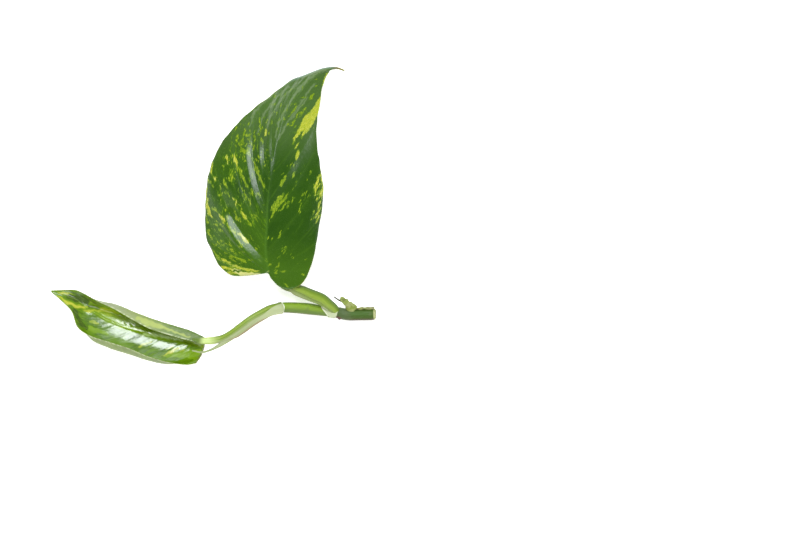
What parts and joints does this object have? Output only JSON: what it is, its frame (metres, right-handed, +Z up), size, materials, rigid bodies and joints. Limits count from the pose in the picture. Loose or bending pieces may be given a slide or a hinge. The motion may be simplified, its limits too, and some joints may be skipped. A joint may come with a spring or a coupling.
{
  "type": "golden pothos stem cutting",
  "caption": "Fresh cutting of golden pothos lying down: an old stem end, a flat heart-shaped leaf and a younger rolled leaf on winged petioles.",
  "frame": {"origin": "on the surface that the cutting lies on, under the middle of its bounding box", "axes": "+Z up from the surface, +X along the stem towards its old cut end, +Y towards the tip of the large leaf"},
  "size_m": [0.143, 0.1313, 0.0228],
  "materials": {
    "stem": "smooth green bark, dark at the old end and yellow-green at the young end",
    "old_petiole": "drying, torn, dull yellow-green",
    "petiole": "smooth yellow-green with fine lengthwise ribs",
    "sheath": "thin, pale whitish green, faintly ribbed",
    "blade_large": "waxy deep green with golden variegation and quilted veins",
    "blade_small": "waxy young green with golden patches, paler and duller underside"
  },
  "bodies": {
    "root": {"stem": "stem", "old_petiole": "old_petiole", "petiole_large": "petiole", "petiole_small": "petiole", "sheath_large": "sheath", "sheath_small": "sheath", "blade_large": "blade_large", "blade_small": "blade_small"}
  },
  "joints": []
}
